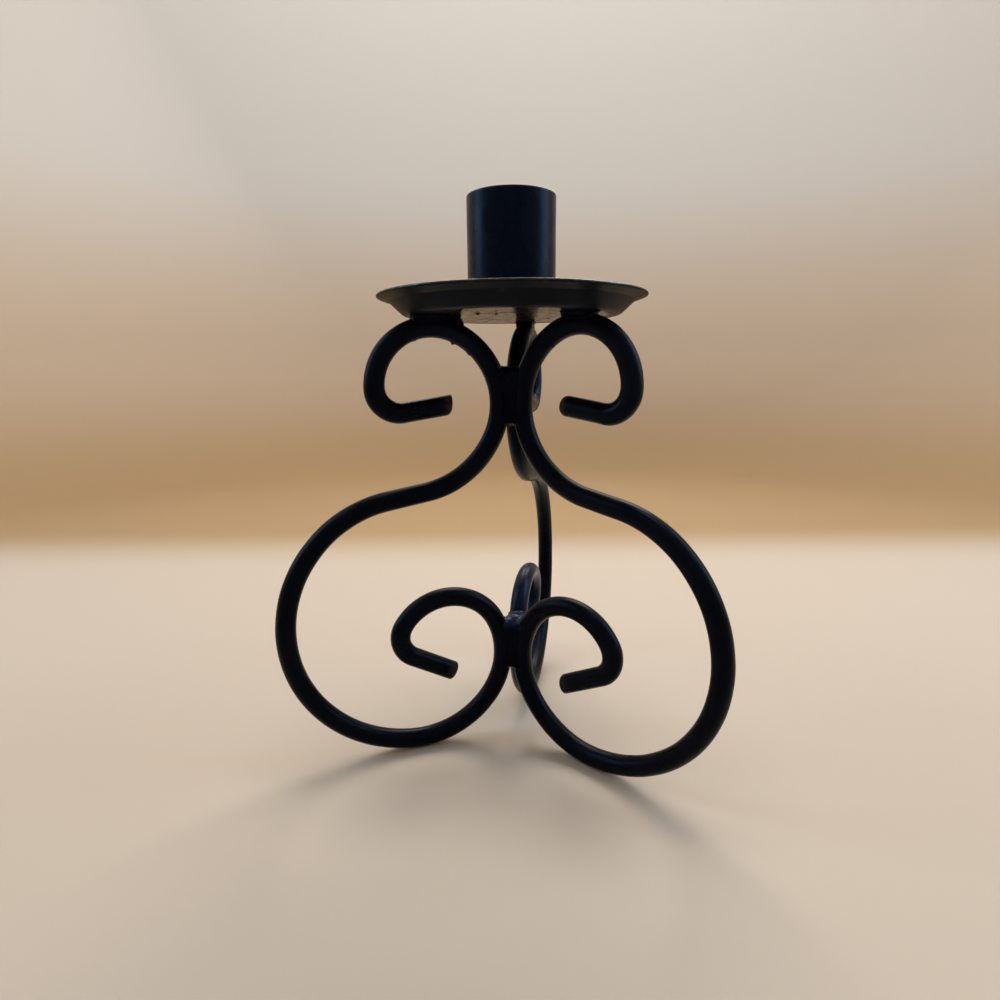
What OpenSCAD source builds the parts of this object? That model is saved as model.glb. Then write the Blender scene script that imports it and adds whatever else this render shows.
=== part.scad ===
// Taper candle holder: three scroll legs bent from round rod, a drip pan and a candle cup.
// Origin: on the table, under the middle of the cup. +Z is up, the rear leg points along +Y. Millimetres.
// A leg lies in an upright plane through the middle, where x is the distance from the middle and y the height.

/* [Rod] */
// Diameter of the steel rod that the legs are bent from
rod_d = 5.8; // [4:0.1:7]
// Rounding of the rod's cut ends
tip_round = 1.2; // [0.4:0.1:1.6]

/* [Foot and belly of a leg] */
// Bend radius of the heel, which passes the lower joint
heel_r = 23.6; // [20:0.1:26]
// Bend radius of the foot, which stands on the table
foot_r = 27.4; // [25:0.1:32]
// Bend radius of the wide belly
belly_r = 38.5; // [34:0.5:44]
// Bend radius of the shoulder above the belly
shoulder_r = 34.5; // [30:0.5:37]
// Length of the straight between the shoulder and the throat
straight_len = 11.4; // [5:0.1:18]
// Direction from the foot's centre in which the heel takes over, in degrees
heel_start = -142; // [-150:1:-136]
// Direction from the belly's centre in which the foot takes over, in degrees
foot_start = -86; // [-89:1:-74]
// Direction from the belly's centre in which the shoulder takes over, in degrees
shoulder_start = 47; // [42:1:54]

/* [Neck and upper curl] */
// Bend radius of the neck, which passes the upper joint
neck_r = 21.9; // [20:0.1:25]
// Turn of the neck above the upper joint, in degrees
neck_turn = 66; // [58:1:76]
// Turn of the neck below the upper joint, in degrees
neck_drop = 24; // [22:1:30]
// Bend radius of the throat, between the neck and the straight
throat_r = 27.7; // [24:0.1:32]
// Bend radius of the upper curl
upper_curl_r = 16.4; // [15:0.1:18]
// Direction from the curl's centre in which the upper hook takes over, in degrees
upper_hook_start = 0; // [-8:1:8]
// Bend radius of the upper hook
upper_hook_r = 7; // [6:0.1:8]
// Length of the straight tail beyond the upper hook
upper_tail = 13.8; // [6:0.1:16]
// Rise of the upper tail towards its tip, in degrees
upper_tail_rise = 8; // [0:1:16]

/* [Lower curl] */
// Turn of the heel above the lower joint, in degrees
heel_turn = 26; // [25:1:34]
// Bend radius of the lower curl
lower_curl_r = 16.4; // [15:0.1:18]
// Direction from the curl's centre in which the lower hook takes over, in degrees
lower_hook_start = 32; // [26:1:38]
// Bend radius of the lower hook
lower_hook_r = 7.1; // [6:0.1:8]
// Length of the straight tail beyond the lower hook
lower_tail = 14.1; // [6:0.1:16]
// Fall of the lower tail towards its tip, in degrees
lower_tail_fall = 28; // [20:1:34]

/* [Drip pan] */
// Diameter of the pan over its lip
pan_d = 76.2; // [66:0.2:90]
// Thickness of the pan's sheet
pan_sheet = 0.8; // [0.6:0.1:1.5]
// Height of the lip's edge above the pan's floor
pan_depth = 4.8; // [4.2:0.1:8]
// Slope of the pan's wall, in degrees
pan_wall_slope = 43; // [35:1:60]
// Slope of the lip, in degrees
pan_lip_slope = 20; // [5:1:28]
// Length of the lip beyond the last bend
pan_lip = 3; // [2:0.1:5]
// Radius of the pan's two bends, at the middle of the sheet
pan_bend_r = 2; // [1.2:0.1:3]

/* [Candle cup] */
// Bore of the cup, which takes a standard taper
cup_bore = 23; // [20:0.5:26]
// Thickness of the cup's wall
cup_wall = 1; // [0.8:0.1:2]
// Height of the cup above the pan's floor
cup_h = 31.1; // [24:0.1:40]
// Chamfer on both edges of the cup's mouth
mouth_chamfer = 0.25; // [0.1:0.05:0.35]

/* [Welds] */
// Gap between neighbouring rods at the upper joint, which the weld fills
upper_joint_gap = 1; // [0.3:0.1:1.4]
// Gap between neighbouring rods at the lower joint, which the weld fills
lower_joint_gap = 0.3; // [0.2:0.1:1]
// Radius of the weld between the legs, at the height of a joint
joint_weld_r = 3.1; // [2.6:0.1:3.4]
// Radius of that weld at its two ends
joint_weld_end_r = 4.4; // [3.8:0.1:4.8]
// Height of that weld above a joint
joint_weld_up = 10.4; // [8:0.1:11]
// Depth of that weld below a joint
joint_weld_down = 5.4; // [4:0.1:8]
// Radius of the weld on top of a leg, under the pan
pan_weld_r = 4.4; // [4:0.1:5]
// Height of that weld
pan_weld_h = 1.7; // [1.3:0.1:2.2]
// Leg of the fillet weld round the foot of the cup
cup_weld_leg = 1.3; // [0.8:0.1:2]

/* [Hidden] */
$fn = 96;

paint = [0.05, 0.06, 0.08];
weld_paint = [0.09, 0.1, 0.12];

// Directions of the legs, in degrees round the middle
left = 210;
right = 330;
rear = 90;

// Gap between a weld and the rod or cup that it holds
weld_gap = 0.05;
// Gap between the top of a leg and the pan, which the weld fills
root_gap = 0.3;
// Two bends meet across a fine seam, thinner than the coat of paint that covers it
seam = 0.04;
seam_depth = 0.02;
core_len = 0.6;
// Chamfer at the two ends of a weld between the legs
weld_chamfer = 0.8;
// How far round its bend each rod is cut out of that weld, up and down from the joint, in degrees
weld_sweep = 45;
// Slope of the side of a weld under the pan, as a share of its height
pan_weld_draft = 0.8;
// Steps in each bend of the pan's outline
bend_steps = 6;

rod_r = rod_d / 2;
// Distance from the middle at which a leg passes each joint
upper_joint_r = (rod_d + upper_joint_gap) / sqrt(3);
lower_joint_r = (rod_d + lower_joint_gap) / sqrt(3);

// Unit vector in a direction
function toward(angle) = [cos(angle), sin(angle)];

// Centres of a leg's bends: each bend is tangent to the one before it
foot_c = [lower_joint_r + heel_r - (foot_r - heel_r) * cos(heel_start), rod_r + foot_r];
heel_c = foot_c + (foot_r - heel_r) * toward(heel_start);
belly_c = foot_c - (belly_r - foot_r) * toward(foot_start);
shoulder_c = belly_c + (belly_r - shoulder_r) * toward(shoulder_start);
// The throat and the shoulder bend opposite ways, joined by the straight
throat_step = (neck_r - throat_r) * toward(180 + neck_drop);
throat_x = upper_joint_r + neck_r + throat_step.x;
throat_span = norm([throat_r + shoulder_r, straight_len]);
throat_c = [throat_x, shoulder_c.y + sqrt(throat_span ^ 2 - (throat_x - shoulder_c.x) ^ 2)];
neck_c = throat_c - throat_step;
to_shoulder = shoulder_c - throat_c;
throat_end = atan2(to_shoulder.y, to_shoulder.x) - acos((throat_r + shoulder_r) / throat_span);
upper_curl_c = neck_c + (neck_r - upper_curl_r) * toward(180 - neck_turn);
upper_hook_c = upper_curl_c + (upper_curl_r - upper_hook_r) * toward(upper_hook_start);
upper_hook_end = -90 - upper_tail_rise;
lower_curl_c = heel_c + (heel_r - lower_curl_r) * toward(180 - heel_turn);
lower_hook_c = lower_curl_c + (lower_curl_r - lower_hook_r) * toward(lower_hook_start);
lower_hook_end = lower_tail_fall - 90;

// The bends from the upper tip to the lower tip: centre, radius and the two directions that bound each
upper_hook = [upper_hook_c, upper_hook_r, upper_hook_end, upper_hook_start];
upper_curl = [upper_curl_c, upper_curl_r, upper_hook_start, 180 - neck_turn];
neck = [neck_c, neck_r, 180 - neck_turn, 180 + neck_drop];
throat = [throat_c, throat_r, 180 + neck_drop, 360 + throat_end];
shoulder = [shoulder_c, shoulder_r, shoulder_start, 180 + throat_end];
belly = [belly_c, belly_r, foot_start, shoulder_start];
foot = [foot_c, foot_r, heel_start, foot_start];
heel = [heel_c, heel_r, -180 - heel_turn, heel_start];
lower_curl = [lower_curl_c, lower_curl_r, lower_hook_start, 180 - heel_turn];
lower_hook = [lower_hook_c, lower_hook_r, lower_hook_end, lower_hook_start];
bends = [upper_hook, upper_curl, neck, throat, shoulder, belly, foot, heel, lower_curl, lower_hook];
// Where two pieces of the rod meet: the bend that is cut there, and the direction from its centre
meetings = [
    [upper_hook, upper_hook_end], [upper_hook, upper_hook_start], [neck, 180 - neck_turn],
    [neck, 180 + neck_drop], [throat, throat_end], [shoulder, 180 + throat_end],
    [shoulder, shoulder_start], [foot, foot_start], [foot, heel_start],
    [heel, -180 - heel_turn], [lower_hook, lower_hook_start], [lower_hook, lower_hook_end]
];

// Heights of the joints, of the top of a leg and of the pan's two faces
upper_joint_z = neck_c.y;
lower_joint_z = heel_c.y;
crown_z = upper_curl_c.y + upper_curl_r + rod_r;
pan_z = crown_z + root_gap;
pan_floor_z = pan_z + pan_sheet;

// Point at the middle of the rod on a bend
function on_bend(bend, angle) = bend[0] + bend[1] * toward(angle);

// Puts what is drawn about the Y axis at a point of a leg's plane
module place(point) {
    translate([point.x, 0, point.y])
        children();
}

// One bend of a round bar, with an angle left off each end
module bend(shape, radius, trim = 0) {
    place(shape[0])
        rotate([90, 0, 0])
            rotate([0, 0, shape[2] + trim])
                rotate_extrude(angle = shape[3] - shape[2] - 2 * trim)
                    translate([shape[1], 0])
                        circle(radius);
}

// The straight length of the rod that leaves the throat
module straight(point, angle, length) {
    place(point)
        rotate([0, 90 - angle, 0])
            translate([0, 0, seam / 2])
                cylinder(r = rod_r, h = length - seam);
}

// A straight tail of the rod that leaves a point in a direction and ends in a rounded cut
module tail(point, angle, length) {
    reach = length - seam / 2;
    flat_r = rod_r - tip_round;
    place(point)
        rotate([0, 90 - angle, 0])
            translate([0, 0, seam / 2])
                rotate_extrude() {
                    square([flat_r, reach]);
                    square([rod_r, reach - tip_round]);
                    translate([flat_r, reach - tip_round])
                        circle(tip_round);
                }
}

// The rod's core across the fine seam where two of its pieces meet
module core(shape, angle) {
    place(on_bend(shape, angle))
        rotate([0, -angle, 0])
            cylinder(r = rod_r - seam_depth, h = core_len, center = true);
}

module leg() {
    for (shape = bends)
        bend(shape, rod_r, seam / 2 / shape[1] * 180 / PI);
    tail(on_bend(upper_hook, upper_hook_end), 180 - upper_tail_rise, upper_tail);
    straight(on_bend(throat, throat_end), throat_end + 90, straight_len);
    tail(on_bend(lower_hook, lower_hook_end), 180 + lower_tail_fall, lower_tail);
    for (meeting = meetings)
        core(meeting[0], meeting[1]);
}

// What a weld between the legs must leave free at a joint: the three rods that pass it
module passing_rods(shape) {
    for (direction = [left, right, rear])
        rotate([0, 0, direction])
            bend([shape[0], shape[1], 180 - weld_sweep, 180 + weld_sweep], rod_r + weld_gap, $fn = 180);
}

// Weld in the hollow between the three legs: waisted like the gap that it fills
module joint_weld(height, shape) {
    up = joint_weld_up;
    down = joint_weld_down;
    end_r = joint_weld_end_r;
    difference() {
        translate([0, 0, height])
            rotate_extrude()
                polygon([
                    [0, -down],
                    [end_r - weld_chamfer, -down],
                    [end_r, weld_chamfer - down],
                    [joint_weld_r, 0],
                    [end_r, up - weld_chamfer],
                    [end_r - weld_chamfer, up],
                    [0, up]
                ]);
        passing_rods(shape);
    }
}

// Weld between the top of a leg and the pan
module pan_weld(direction) {
    draft = pan_weld_draft * pan_weld_h;
    rotate([0, 0, direction])
        difference() {
            translate([upper_curl_c.x, 0, pan_z - pan_weld_h])
                cylinder(r1 = pan_weld_r - draft, r2 = pan_weld_r, h = pan_weld_h);
            bend(upper_curl, rod_r + weld_gap);
        }
}

// Points of a bend in the middle of the pan's sheet, each with the slope there
function sheet_bend(centre, radius, from, to) = [
    for (i = [0:bend_steps])
        let (slope = from + (to - from) * i / bend_steps)
            [centre + radius * [sin(slope), -cos(slope)], slope]
];

// Middle of the pan's sheet, worked out from the lip's edge inwards
wall = pan_wall_slope;
lip = pan_lip_slope;
bend_rise = pan_bend_r * (1 + cos(lip) - 2 * cos(wall));
wall_len = (pan_depth - bend_rise - pan_lip * sin(lip)) / sin(wall);
edge = [pan_d / 2 - pan_sheet / 2, pan_depth + pan_sheet / 2];
knee_c = edge - pan_lip * toward(lip) - pan_bend_r * [-sin(lip), cos(lip)];
floor_c = knee_c + 2 * pan_bend_r * [-sin(wall), cos(wall)] - wall_len * toward(wall);
sheet_line = concat(
    [[[0, pan_sheet / 2], 0]],
    sheet_bend(floor_c, pan_bend_r, 0, wall),
    sheet_bend(knee_c, -pan_bend_r, wall, lip)
);

// The line that lies a distance above the middle of the sheet
function sheet_side(rise) = [for (p = sheet_line) p[0] + rise * [-sin(p[1]), cos(p[1])]];
function reversed(points) = [for (i = [len(points) - 1:-1:0]) points[i]];

module drip_pan() {
    half = pan_sheet / 2;
    // The edge of the lip is rounded over
    round_edge = [for (i = [0:bend_steps]) edge + half * toward(lip - 90 + 180 * i / bend_steps)];
    color(paint)
        translate([0, 0, pan_z])
            rotate_extrude()
                polygon(concat(sheet_side(-half), round_edge, reversed(sheet_side(half))));
}

module candle_cup() {
    bore_r = cup_bore / 2;
    cup_r = bore_r + cup_wall;
    color(paint)
        translate([0, 0, pan_floor_z])
            rotate_extrude()
                polygon([
                    [bore_r, 0],
                    [cup_r, 0],
                    [cup_r, cup_h - mouth_chamfer],
                    [cup_r - mouth_chamfer, cup_h],
                    [bore_r + mouth_chamfer, cup_h],
                    [bore_r, cup_h - mouth_chamfer]
                ]);
}

module cup_weld() {
    color(weld_paint)
        translate([0, 0, pan_floor_z])
            rotate_extrude()
                translate([cup_bore / 2 + cup_wall + weld_gap, 0])
                    intersection() {
                        circle(cup_weld_leg);
                        square(cup_weld_leg);
                    }
}

module leg_left() {
    color(paint) rotate([0, 0, left]) leg();
}

module leg_right() {
    color(paint) rotate([0, 0, right]) leg();
}

module leg_rear() {
    color(paint) rotate([0, 0, rear]) leg();
}

module upper_leg_weld() {
    color(weld_paint) joint_weld(upper_joint_z, neck);
}

module lower_leg_weld() {
    color(weld_paint) joint_weld(lower_joint_z, heel);
}

module pan_weld_left() {
    color(weld_paint) pan_weld(left);
}

module pan_weld_right() {
    color(weld_paint) pan_weld(right);
}

module pan_weld_rear() {
    color(weld_paint) pan_weld(rear);
}

leg_left();
leg_right();
leg_rear();
upper_leg_weld();
lower_leg_weld();
pan_weld_left();
pan_weld_right();
pan_weld_rear();
drip_pan();
candle_cup();
cup_weld();
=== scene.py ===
import math
import random

import bmesh
import bpy
import numpy as np
from mathutils import Matrix, Vector


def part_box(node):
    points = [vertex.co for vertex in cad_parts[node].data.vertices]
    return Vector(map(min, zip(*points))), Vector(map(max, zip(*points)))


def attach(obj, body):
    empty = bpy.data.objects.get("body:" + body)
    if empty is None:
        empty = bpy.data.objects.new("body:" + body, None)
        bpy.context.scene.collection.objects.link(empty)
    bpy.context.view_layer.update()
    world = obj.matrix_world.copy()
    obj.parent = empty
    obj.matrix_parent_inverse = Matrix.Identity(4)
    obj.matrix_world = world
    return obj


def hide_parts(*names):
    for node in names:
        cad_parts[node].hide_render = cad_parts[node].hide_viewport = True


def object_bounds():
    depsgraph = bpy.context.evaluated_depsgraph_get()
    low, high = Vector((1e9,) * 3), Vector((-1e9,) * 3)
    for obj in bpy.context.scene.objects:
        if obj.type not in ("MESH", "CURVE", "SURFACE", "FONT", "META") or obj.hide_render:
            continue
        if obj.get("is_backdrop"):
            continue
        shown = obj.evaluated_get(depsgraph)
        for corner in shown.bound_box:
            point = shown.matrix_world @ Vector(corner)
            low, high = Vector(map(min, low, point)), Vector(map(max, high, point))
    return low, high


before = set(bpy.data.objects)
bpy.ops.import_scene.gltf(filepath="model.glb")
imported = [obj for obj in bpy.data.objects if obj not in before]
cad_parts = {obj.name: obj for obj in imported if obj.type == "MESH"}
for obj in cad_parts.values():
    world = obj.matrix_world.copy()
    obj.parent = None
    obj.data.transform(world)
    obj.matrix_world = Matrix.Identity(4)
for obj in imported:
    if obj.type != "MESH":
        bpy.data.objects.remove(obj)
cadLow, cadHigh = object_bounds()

mm = 0.001
legDirections = {"leg_left": 210, "leg_right": 330, "leg_rear": 90}  # degrees round the middle
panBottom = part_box("drip_pan")[0].z / mm
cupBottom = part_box("candle_cup")[0].z / mm
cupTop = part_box("candle_cup")[1].z / mm
print("frame loaded, box in mm", [round(v / mm, 2) for v in (*cadLow, *cadHigh)])

# Camera: where the photograph was taken from
cameraSet = {
    "place": (36.13, -186.13, 114.92),  # mm
    "turn": 0.2119,  # radians to the left of +Y
    "tilt": -0.2019,  # radians, down
    "roll": -0.0087,
    "lens": 22.955,
    "sensor": 36,
}


def addCamera(s):
    turn, tilt, roll = s["turn"], s["tilt"], s["roll"]
    ahead = Vector((-math.sin(turn) * math.cos(tilt), math.cos(turn) * math.cos(tilt), math.sin(tilt)))
    level = Vector((math.cos(turn), math.sin(turn), 0))
    upright = level.cross(ahead)
    right = math.cos(roll) * level + math.sin(roll) * upright
    up = -math.sin(roll) * level + math.cos(roll) * upright
    lens = bpy.data.cameras.new("camera")
    lens.lens = s["lens"]
    lens.sensor_width = s["sensor"]
    lens.clip_start = 0.01
    camera = bpy.data.objects.new("camera", lens)
    bpy.context.scene.collection.objects.link(camera)
    place = Vector(s["place"]) * mm
    camera.matrix_world = Matrix((
        (right.x, up.x, -ahead.x, place.x),
        (right.y, up.y, -ahead.y, place.y),
        (right.z, up.z, -ahead.z, place.z),
        (0, 0, 0, 1),
    ))
    bpy.context.scene.camera = camera


addCamera(cameraSet)
bpy.context.scene.view_settings.view_transform = "Standard"
print("camera set")


def toward(angle):
    return np.array([math.cos(math.radians(angle)), math.sin(math.radians(angle))])


# Waves: a smooth, repeatable unevenness made of a few plane waves, about -1 to 1
def makeWaves(seed, wavelength, count=8):
    rng = random.Random(seed)
    waves = []
    for _ in range(count):
        heading = Vector((rng.gauss(0, 1), rng.gauss(0, 1), rng.gauss(0, 1))).normalized()
        length = wavelength * rng.uniform(0.7, 1.5)
        waves.append((np.array(heading) * 2 * math.pi / length, rng.uniform(0, 2 * math.pi)))
    return waves


def waveHeight(points, waves):
    total = sum(np.sin(points @ k + phase) for k, phase in waves)
    return total / math.sqrt(2 * len(waves))


# Pieces: points in mm, quads or polygons
# bare says where paint has gone, and the gloss mask where it lies thickly and, on rod and weld, where a
# blue sheen is painted into the colour, from 0 to 1
def addPiece(name, points, faces, replaced=None, bare=None, glossAndSheen=None, stage=False):
    mesh = bpy.data.meshes.new(name)
    corners = (np.asarray(points) * mm).tolist()
    mesh.from_pydata(corners, [], [tuple(int(i) for i in face) for face in faces])
    work = bmesh.new()
    work.from_mesh(mesh)
    bmesh.ops.recalc_face_normals(work, faces=work.faces)
    work.to_mesh(mesh)
    work.free()
    mesh.polygons.foreach_set("use_smooth", [True] * len(mesh.polygons))
    for label, values in (("bare", bare), ("glossAndSheen", glossAndSheen)):
        if values is not None:
            layer = mesh.attributes.new(label, "FLOAT", "POINT")
            layer.data.foreach_set("value", np.clip(values, 0, 1).astype(np.float32))
    mesh.update()
    piece = bpy.data.objects.new(name, mesh)
    bpy.context.scene.collection.objects.link(piece)
    if stage:
        piece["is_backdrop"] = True
        return piece
    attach(piece, "root")
    if replaced:
        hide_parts(replaced)
    return piece


def joinRings(rings, sides, closed=False):
    faces = []
    for i in range(rings if closed else rings - 1):
        a, b = i * sides, (i + 1) % rings * sides
        for j in range(sides):
            k = (j + 1) % sides
            faces.append((a + j, a + k, b + k, b + j))
    return faces


# Legs: round rod bent cold round formers, sheared off at both ends and painted
legShape = {  # mm and degrees
    "rodRadius": 2.9,
    "upperGap": 1.0,  # between neighbouring rods at the upper joint
    "lowerGap": 0.3,
    "heelRadius": 23.6,
    "footRadius": 27.4,
    "bellyRadius": 38.5,
    "shoulderRadius": 34.5,
    "straight": 11.4,
    "heelStart": -142,
    "footStart": -86,
    "shoulderStart": 47,
    "neckRadius": 21.9,
    "neckTurn": 66,
    "neckDrop": 24,
    "throatRadius": 27.7,
    "upperCurlRadius": 16.4,
    "upperHookStart": 0,
    "upperHookRadius": 7,
    "upperTail": 13.8,
    "upperTailRise": 8,
    "heelTurn": 26,
    "lowerCurlRadius": 16.4,
    "lowerHookStart": 32,
    "lowerHookRadius": 7.1,
    "lowerTail": 14.1,
    "lowerTailFall": 28,
}
rodFinish = {
    "sides": 40,
    "step": 0.6,  # mm between rings along the rod
    "spread": 0.045,  # share by which the rod widens in a hook
    "thinning": 0.6,  # share of that spread by which it thins sideways
    "spreadRings": 11,  # rings over which the spread comes and goes
    "unevenness": 0.02,  # mm
    "unevenLength": 9,  # mm
    "shy": 0.02,  # mm that the painted rod stays inside its CAD size
    "tipLength": 3.0,  # mm of plain rod before each cut end
    "tipCrown": 0.12,  # mm that the middle of a cut stands proud
    "tipBare": 0.35,  # share of the paint that is off a cut
    "footBare": 0.09,  # mm above the table up to which the paint is rubbed off
}
# Cut ends: rounding at the curl's outer and inner corner in mm, and lean of the cut in degrees
tipCuts = {
    "leg_left": {"upper": (1.5, 0.35, 9), "lower": (0.5, 0.6, -4)},
    "leg_right": {"upper": (1.9, 1.7, 0), "lower": (0.2, 0.3, 5)},
    "leg_rear": {"upper": (0.9, 0.5, -6), "lower": (1.1, 0.7, 5)},
}
# Runs and nibs of paint: distance from the middle, height, size and width in mm
paintNibs = {
    "leg_left": [(17.3, 122.9, 0.6, 0.5), (12.6, 119.9, 0.3, 0.5), (29.0, 124.0, 0.2, 0.6)],
    "leg_right": [(14.8, 121.2, 0.3, 0.5), (16.4, 122.1, 0.22, 0.4), (44.0, 7.2, 0.25, 0.6)],
    "leg_rear": [(18.0, 123.0, 0.3, 0.5)],
}


# Centre, radius, first and last direction of each bend, from the upper tip to the lower one
def legBends(s):
    upperJoint = (2 * s["rodRadius"] + s["upperGap"]) / math.sqrt(3)
    lowerJoint = (2 * s["rodRadius"] + s["lowerGap"]) / math.sqrt(3)
    heelStep = (s["footRadius"] - s["heelRadius"]) * toward(s["heelStart"])
    foot = np.array([lowerJoint + s["heelRadius"] - heelStep[0], s["rodRadius"] + s["footRadius"]])
    heel = foot + heelStep
    belly = foot - (s["bellyRadius"] - s["footRadius"]) * toward(s["footStart"])
    shoulder = belly + (s["bellyRadius"] - s["shoulderRadius"]) * toward(s["shoulderStart"])
    neckEnd = 180 + s["neckDrop"]
    throatStep = (s["neckRadius"] - s["throatRadius"]) * toward(neckEnd)
    throatX = upperJoint + s["neckRadius"] + throatStep[0]
    reach = s["throatRadius"] + s["shoulderRadius"]
    span = math.hypot(reach, s["straight"])
    throat = np.array([throatX, shoulder[1] + math.sqrt(span**2 - (throatX - shoulder[0]) ** 2)])
    neck = throat - throatStep
    gap = shoulder - throat
    throatEnd = 360 + math.degrees(math.atan2(gap[1], gap[0])) - math.degrees(math.acos(reach / span))
    curlEnd = 180 - s["neckTurn"]
    upperCurl = neck + (s["neckRadius"] - s["upperCurlRadius"]) * toward(curlEnd)
    upperHook = upperCurl + (s["upperCurlRadius"] - s["upperHookRadius"]) * toward(s["upperHookStart"])
    heelEnd = -180 - s["heelTurn"]
    lowerCurl = heel + (s["heelRadius"] - s["lowerCurlRadius"]) * toward(heelEnd)
    lowerHook = lowerCurl + (s["lowerCurlRadius"] - s["lowerHookRadius"]) * toward(s["lowerHookStart"])
    return [
        (upperHook, s["upperHookRadius"], -90 - s["upperTailRise"], s["upperHookStart"]),
        (upperCurl, s["upperCurlRadius"], s["upperHookStart"], curlEnd),
        (neck, s["neckRadius"], curlEnd, neckEnd),
        (throat, s["throatRadius"], neckEnd, throatEnd),
        (shoulder, s["shoulderRadius"], throatEnd - 180, s["shoulderStart"]),
        (belly, s["bellyRadius"], s["shoulderStart"], s["footStart"]),
        (foot, s["footRadius"], s["footStart"], s["heelStart"]),
        (heel, s["heelRadius"], s["heelStart"], heelEnd),
        (lowerCurl, s["lowerCurlRadius"], heelEnd, s["lowerHookStart"] - 360),
        (lowerHook, s["lowerHookRadius"], s["lowerHookStart"] - 360, s["lowerTailFall"] - 450),
    ]


def legLine(s, step):  # points, headings and curvature along the rod's middle, in the leg's plane
    bends = legBends(s)
    points, headings, curvatures = [], [], []

    def addStraight(start, heading, length):
        count = max(2, round(length / step))
        for i in range(count):
            points.append(start + heading * length * i / count)
            headings.append(heading)
            curvatures.append(0)

    def addBend(centre, radius, first, last):
        turn = 1 if last > first else -1
        count = max(2, round(math.radians(abs(last - first)) * radius / step))
        for i in range(count):
            angle = first + (last - first) * i / count
            points.append(centre + radius * toward(angle))
            headings.append(toward(angle + 90 * turn))
            curvatures.append(1 / radius)

    centre, radius, first, _ = bends[0]
    heading = toward(first + 90)
    addStraight(centre + radius * toward(first) - heading * s["upperTail"], heading, s["upperTail"])
    for centre, radius, first, last in bends:
        addBend(centre, radius, first, last)
        if radius == s["throatRadius"]:
            addStraight(centre + radius * toward(last), toward(last + 90), s["straight"])
    heading = toward(last - 90)
    start = centre + radius * toward(last)
    addStraight(start, heading, s["lowerTail"])
    points.append(start + heading * s["lowerTail"])
    headings.append(heading)
    curvatures.append(0)
    return np.array(points), np.array(headings), np.array(curvatures)


legLean = {"leg_left": 0, "leg_right": 0, "leg_rear": -1.0}  # mm to the leg's left at the floor
leanTop = 105  # mm up, where the lean starts


def sideLean(name, heights):
    return legLean[name] * np.clip(1 - heights / leanTop, 0, 1)


def inRoom(plane, lateral, direction):  # from a leg's plane to x, y, z
    c, s = toward(direction)
    away, up = plane[..., 0], plane[..., 1]
    return np.stack([away * c - lateral * s, away * s + lateral * c, up], -1)


linePoints, lineHeadings, lineCurvatures = legLine(legShape, rodFinish["step"])
# Hand bending: how far a leg's lower curl ends up from the jig's, away from the middle and up in mm,
# and how far it tilts to the leg's left, in mm to each mm of height
curlDrift = {"leg_left": (0, 0.15, 0), "leg_right": (1.0, -0.55, 0), "leg_rear": (0.3, -1.5, -0.07)}
curlPivot = 36  # mm up, where a tilted curl stays in the leg's plane
# Shares of the rod's length between which it drifts
driftSpans = {"leg_left": (0.80, 0.93), "leg_right": (0.775, 0.845), "leg_rear": (0.80, 0.93)}
# Where the paint lies thickly and glossy, and where a blue highlight is painted into its colour:
# distance from the middle, height, reach in mm and share
thickPaintAndSheen = {
    "leg_left": [(18, 122, 9, 0.14), (30, 42, 12, 0.06)],
    "leg_right": [(36, 112, 14, 0.07), (50, 74, 16, 0.05), (34, 36, 10, 0.05)],
    "leg_rear": [(20, 41, 16, 0.9), (8, 24, 12, 0.95), (38, 112, 10, 0.7)],
}


def legDrift(name, share):
    start, end = driftSpans[name]
    share = np.clip((share - start) / (end - start), 0, 1)
    return np.multiply.outer(share * share * (3 - 2 * share), curlDrift[name])


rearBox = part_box("leg_rear")
print("leg line against the CAD leg, mm: crown",
      round(linePoints[:, 1].max() + legShape["rodRadius"] - rearBox[1].z / mm, 3),
      "reach", round(linePoints[:, 0].max() + legShape["rodRadius"] - rearBox[1].y / mm, 3))


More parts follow.
